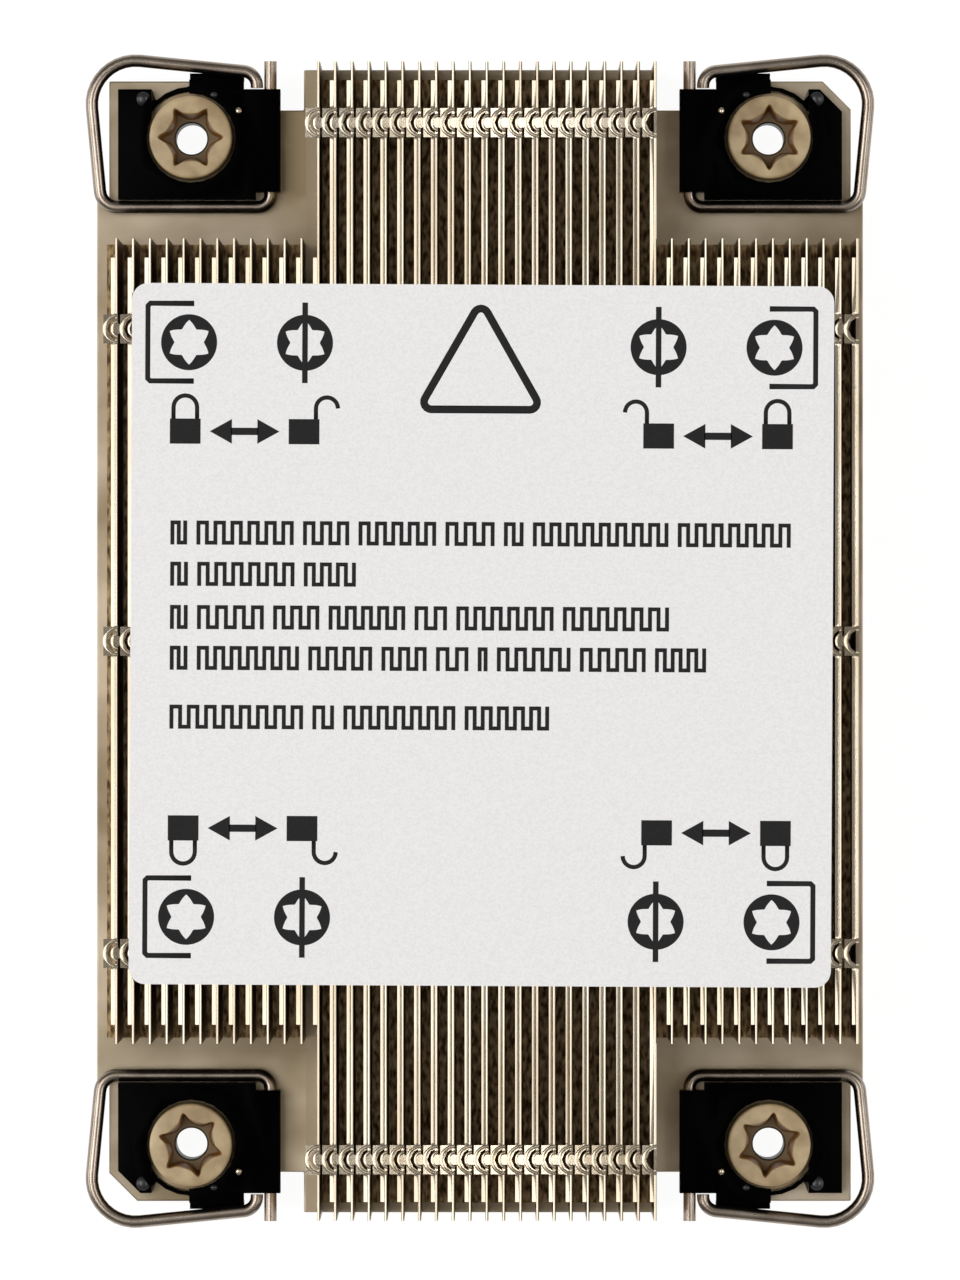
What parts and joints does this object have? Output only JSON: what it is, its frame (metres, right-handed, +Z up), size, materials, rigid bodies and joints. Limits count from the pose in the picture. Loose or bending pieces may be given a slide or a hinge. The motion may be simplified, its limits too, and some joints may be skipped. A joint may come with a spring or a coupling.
{
  "type": "passive server cpu heatsink",
  "caption": "Low passive heatsink: plated base plate with a stack of hooked sheet fins, captive corner nuts in moulded retainers and swinging anti-tilt wires.",
  "frame": {"origin": "centre of the footprint, on the contact face under the base plate", "axes": "+X across the fins, +Y along the fins and the airflow, +Z up from the contact face to the fin tops"},
  "size_m": [0.0814, 0.1212, 0.0257],
  "materials": {
    "plate": "nickel-plated, satin, warm grey",
    "fins": "nickel-plated sheet, semi-bright",
    "label": "matt off-white with dark print",
    "retainer": "black moulded, slight gloss",
    "nut": "beige moulded, satin",
    "wire": "nickel-plated spring wire"
  },
  "bodies": {
    "heatsink": {"base_plate": "plate", "fin_01": "fins", "fin_02": "fins", "fin_03": "fins", "fin_04": "fins", "fin_05": "fins", "fin_06": "fins", "fin_07": "fins", "fin_08": "fins", "fin_09": "fins", "fin_10": "fins", "fin_11": "fins", "fin_12": "fins", "fin_13": "fins", "fin_14": "fins", "fin_15": "fins", "fin_16": "fins", "fin_17": "fins", "fin_18": "fins", "fin_19": "fins", "fin_20": "fins", "fin_21": "fins", "fin_22": "fins", "fin_23": "fins", "fin_24": "fins", "fin_25": "fins", "fin_26": "fins", "fin_27": "fins", "fin_28": "fins", "fin_29": "fins", "fin_30": "fins", "fin_31": "fins", "fin_32": "fins", "fin_33": "fins", "fin_34": "fins", "fin_35": "fins", "fin_36": "fins", "fin_37": "fins", "fin_38": "fins", "fin_39": "fins", "fin_40": "fins", "fin_41": "fins", "fin_42": "fins", "fin_43": "fins", "fin_44": "fins", "fin_45": "fins", "label": "label", "retainer_rear_left": "retainer", "retainer_rear_right": "retainer", "retainer_front_left": "retainer", "retainer_front_right": "retainer"},
    "wire_rear_left": {"wire_rear_left": "wire"},
    "nut_rear_left": {"nut_rear_left": "nut"},
    "wire_rear_right": {"wire_rear_right": "wire"},
    "nut_rear_right": {"nut_rear_right": "nut"},
    "wire_front_left": {"wire_front_left": "wire"},
    "nut_front_left": {"nut_front_left": "nut"},
    "wire_front_right": {"wire_front_right": "wire"},
    "nut_front_right": {"nut_front_right": "nut"}
  },
  "joints": [
    {"name": "wire_rear_left_swing", "type": "hinge", "parent": "heatsink", "child": "wire_rear_left", "pos_m": [-0.02165, 0.0515, 0.00637], "axis": [0, 1, 0], "range_deg": [0, 95]},
    {"name": "nut_rear_left_spin", "type": "hinge", "parent": "heatsink", "child": "nut_rear_left", "pos_m": [-0.0298, 0.0519, 0.006], "axis": [0, 0, 1], "continuous": true},
    {"name": "wire_rear_right_swing", "type": "hinge", "parent": "heatsink", "child": "wire_rear_right", "pos_m": [0.02165, 0.0515, 0.00637], "axis": [0, -1, 0], "range_deg": [0, 95]},
    {"name": "nut_rear_right_spin", "type": "hinge", "parent": "heatsink", "child": "nut_rear_right", "pos_m": [0.0298, 0.0519, 0.006], "axis": [0, 0, 1], "continuous": true},
    {"name": "wire_front_left_swing", "type": "hinge", "parent": "heatsink", "child": "wire_front_left", "pos_m": [-0.02165, -0.0515, 0.00637], "axis": [0, 1, 0], "range_deg": [0, 95]},
    {"name": "nut_front_left_spin", "type": "hinge", "parent": "heatsink", "child": "nut_front_left", "pos_m": [-0.0298, -0.0519, 0.006], "axis": [0, 0, 1], "continuous": true},
    {"name": "wire_front_right_swing", "type": "hinge", "parent": "heatsink", "child": "wire_front_right", "pos_m": [0.02165, -0.0515, 0.00637], "axis": [0, -1, 0], "range_deg": [0, 95]},
    {"name": "nut_front_right_spin", "type": "hinge", "parent": "heatsink", "child": "nut_front_right", "pos_m": [0.0298, -0.0519, 0.006], "axis": [0, 0, 1], "continuous": true}
  ]
}
